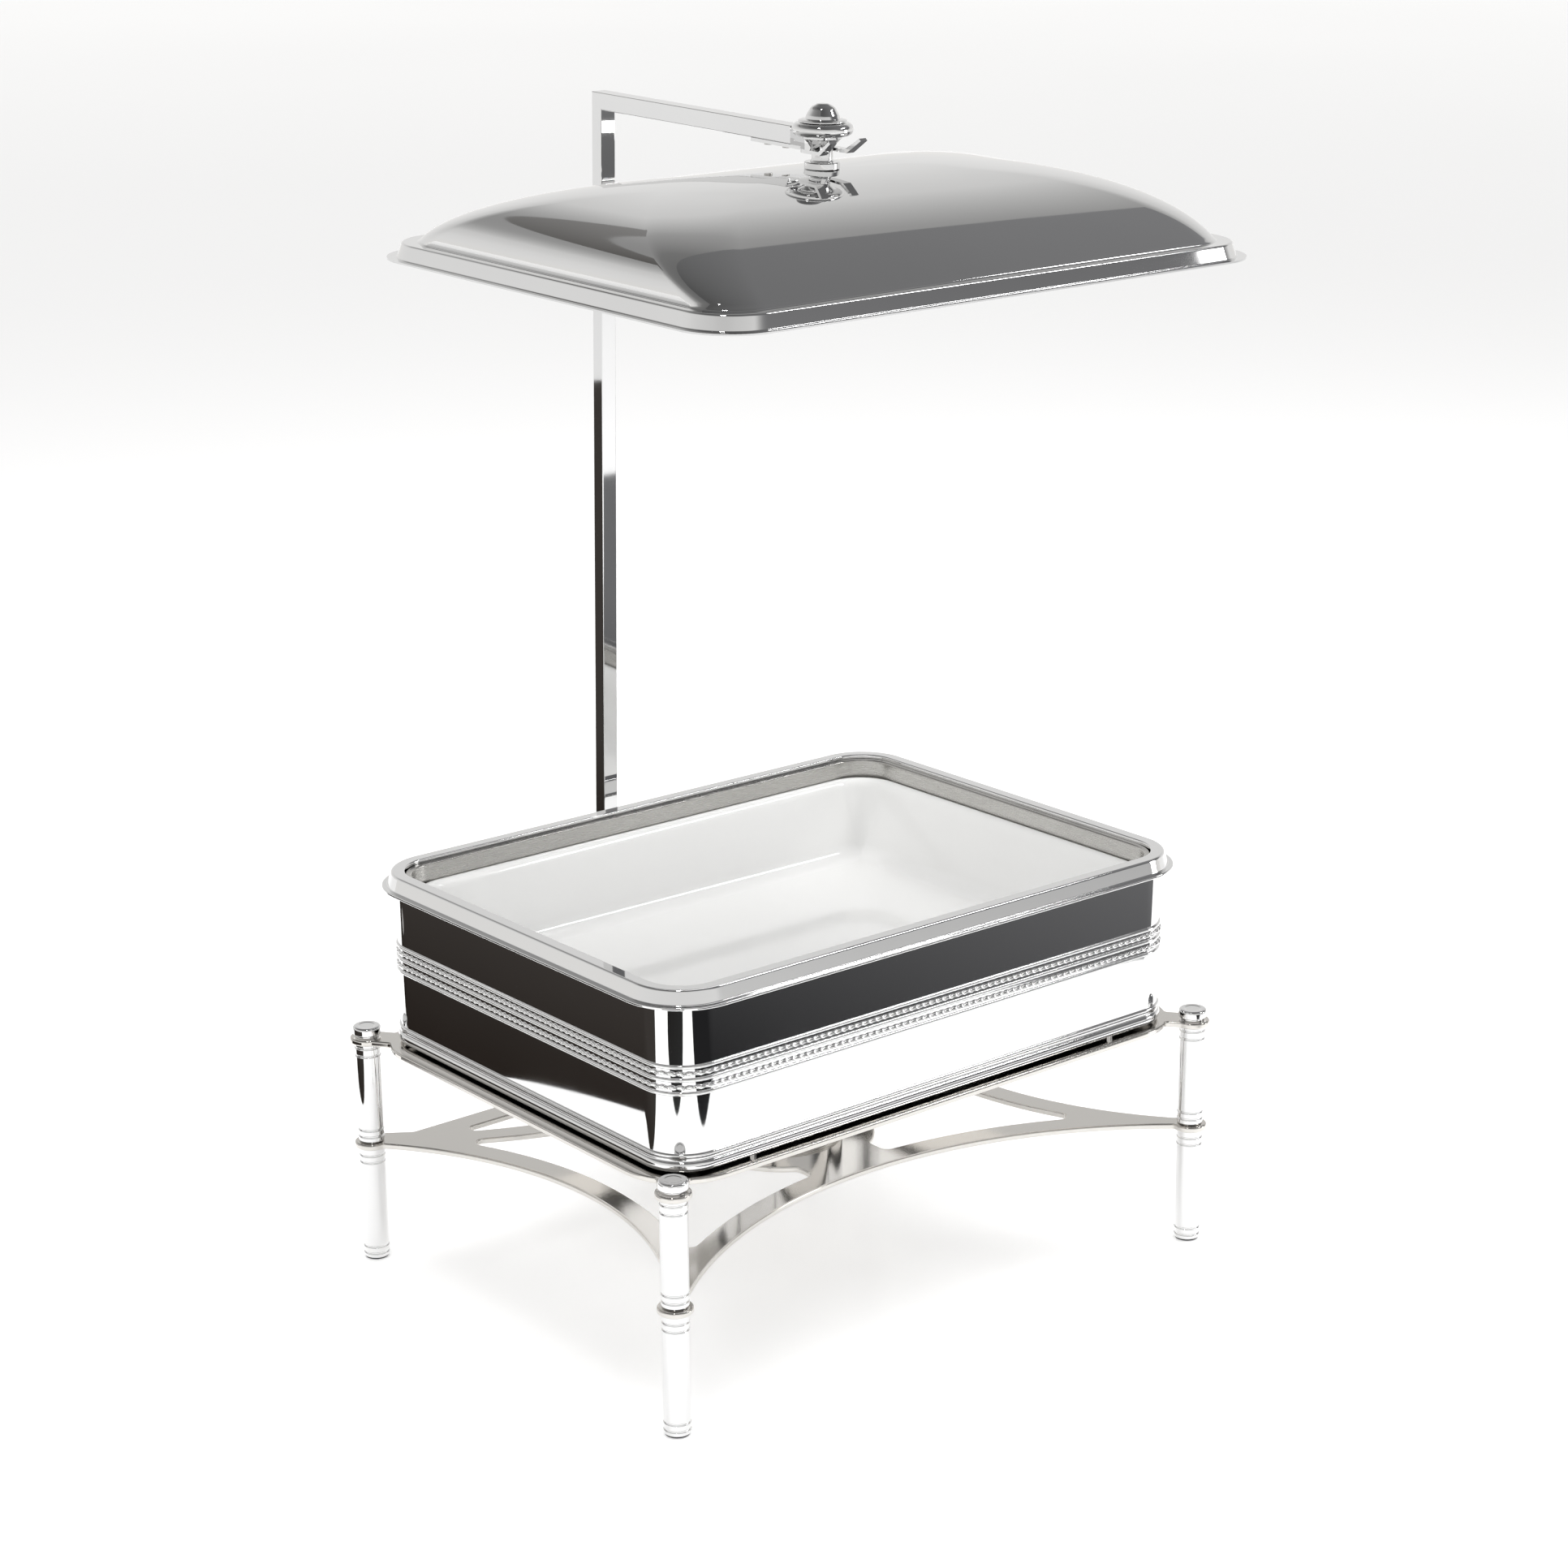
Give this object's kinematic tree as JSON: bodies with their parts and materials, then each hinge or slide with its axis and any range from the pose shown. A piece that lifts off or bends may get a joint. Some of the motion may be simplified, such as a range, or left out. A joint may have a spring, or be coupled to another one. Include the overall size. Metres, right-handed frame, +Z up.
{
  "type": "electric buffet server",
  "caption": "Polished electric buffet server: four-legged stand, heated rectangular tub with a white porcelain pan, and a domed lid hung by its knob from a rear post.",
  "frame": {"origin": "on the floor, midway between the four feet", "axes": "+Z up, +X along the long side to the right, +Y to the back where the lid's post stands"},
  "size_m": [0.526, 0.4948, 0.8779],
  "materials": {
    "chrome": "polished mirror plate",
    "warm_plate": "polished plate, slightly warm",
    "satin_steel": "satin",
    "steel_fasteners": "machined",
    "porcelain": "gloss glaze",
    "dark_rubber": "matt",
    "black_plastic": "fine texture",
    "hot_plate": "machined, heat darkened",
    "insulation": "matt",
    "amber_lens": "clear amber",
    "brass_pins": "plated"
  },
  "bodies": {
    "stand": {"leg_upper_fl": "chrome", "leg_upper_fr": "chrome", "leg_upper_bl": "chrome", "leg_upper_br": "chrome", "leg_lower_fl": "chrome", "leg_lower_fr": "chrome", "leg_lower_bl": "chrome", "leg_lower_br": "chrome", "leg_caps": "chrome", "tub_shell": "chrome", "rim_frame": "chrome", "base_moulding": "chrome", "band_beads": "chrome", "rope_bead_upper": "chrome", "rope_bead_lower": "chrome", "tub_feet": "chrome", "upper_socket": "chrome", "lower_socket": "chrome", "heater_drum": "chrome", "heater_bezel": "chrome", "tub_plate": "warm_plate", "lower_shelf": "warm_plate", "heater_base": "satin_steel", "control_box": "satin_steel", "tub_spacers": "satin_steel", "tie_rods": "steel_fasteners", "tub_bolts": "steel_fasteners", "tub_nuts": "steel_fasteners", "heater_screws": "steel_fasteners", "socket_screws": "steel_fasteners", "heating_element": "steel_fasteners", "foot_pads": "dark_rubber", "thermostat": "black_plastic", "switch_bezel": "black_plastic", "power_inlet": "black_plastic", "thermal_cutout": "black_plastic", "heating_plate": "hot_plate", "insulation_disc": "insulation", "terminal_block": "insulation", "power_lamp": "amber_lens", "inlet_pins": "brass_pins"},
    "water_pan": {"water_pan": "satin_steel"},
    "food_pan": {"food_pan": "porcelain"},
    "holder": {"post_bar": "chrome", "arm_bar": "chrome", "fork_hook": "chrome", "hook_screws": "steel_fasteners"},
    "thumb_screw": {"thumb_screw": "chrome"},
    "knob": {"knob_neck": "chrome", "knob_grip": "chrome", "knob_finial": "chrome", "knob_collar": "chrome", "knob_spindle": "steel_fasteners", "spindle_nut": "steel_fasteners"},
    "lid": {"lid_shell": "chrome", "lid_washer": "steel_fasteners"},
    "thermostat_dial": {"thermostat_dial": "black_plastic"},
    "rocker_switch": {"rocker_switch": "black_plastic"}
  },
  "joints": [
    {"name": "water_pan_lift", "type": "slide", "parent": "stand", "child": "water_pan", "axis": [0, 0, 1], "range_m": [0, 0.14]},
    {"name": "food_pan_lift", "type": "slide", "parent": "water_pan", "child": "food_pan", "axis": [0, 0, 1], "range_m": [0, 0.12]},
    {"name": "holder_lift", "type": "slide", "parent": "stand", "child": "holder", "axis": [0, -0.0312, 0.9995], "range_m": [0, 0.125]},
    {"name": "lid_unhook", "type": "slide", "parent": "holder", "child": "knob", "axis": [0, -0.9857, 0.1687], "range_m": [0, 0.06]},
    {"name": "lid_turn", "type": "hinge", "parent": "knob", "child": "lid", "pos_m": [0, -0.05258, 0.83179], "axis": [0, -0.0312, 0.9995], "range_deg": [-30, 30]},
    {"name": "thumb_screw_turn", "type": "hinge", "parent": "stand", "child": "thumb_screw", "pos_m": [0, 0.23777, 0.19755], "axis": [0, 0.9995, 0.0312], "range_deg": [0, 720]},
    {"name": "thermostat_turn", "type": "hinge", "parent": "stand", "child": "thermostat_dial", "pos_m": [0.012, 0.076, 0.143], "axis": [0, 1, 0], "range_deg": [0, 270]},
    {"name": "rocker_press", "type": "hinge", "parent": "stand", "child": "rocker_switch", "pos_m": [-0.016, 0.071, 0.146], "axis": [1, 0, 0], "range_deg": [0, 16]}
  ]
}
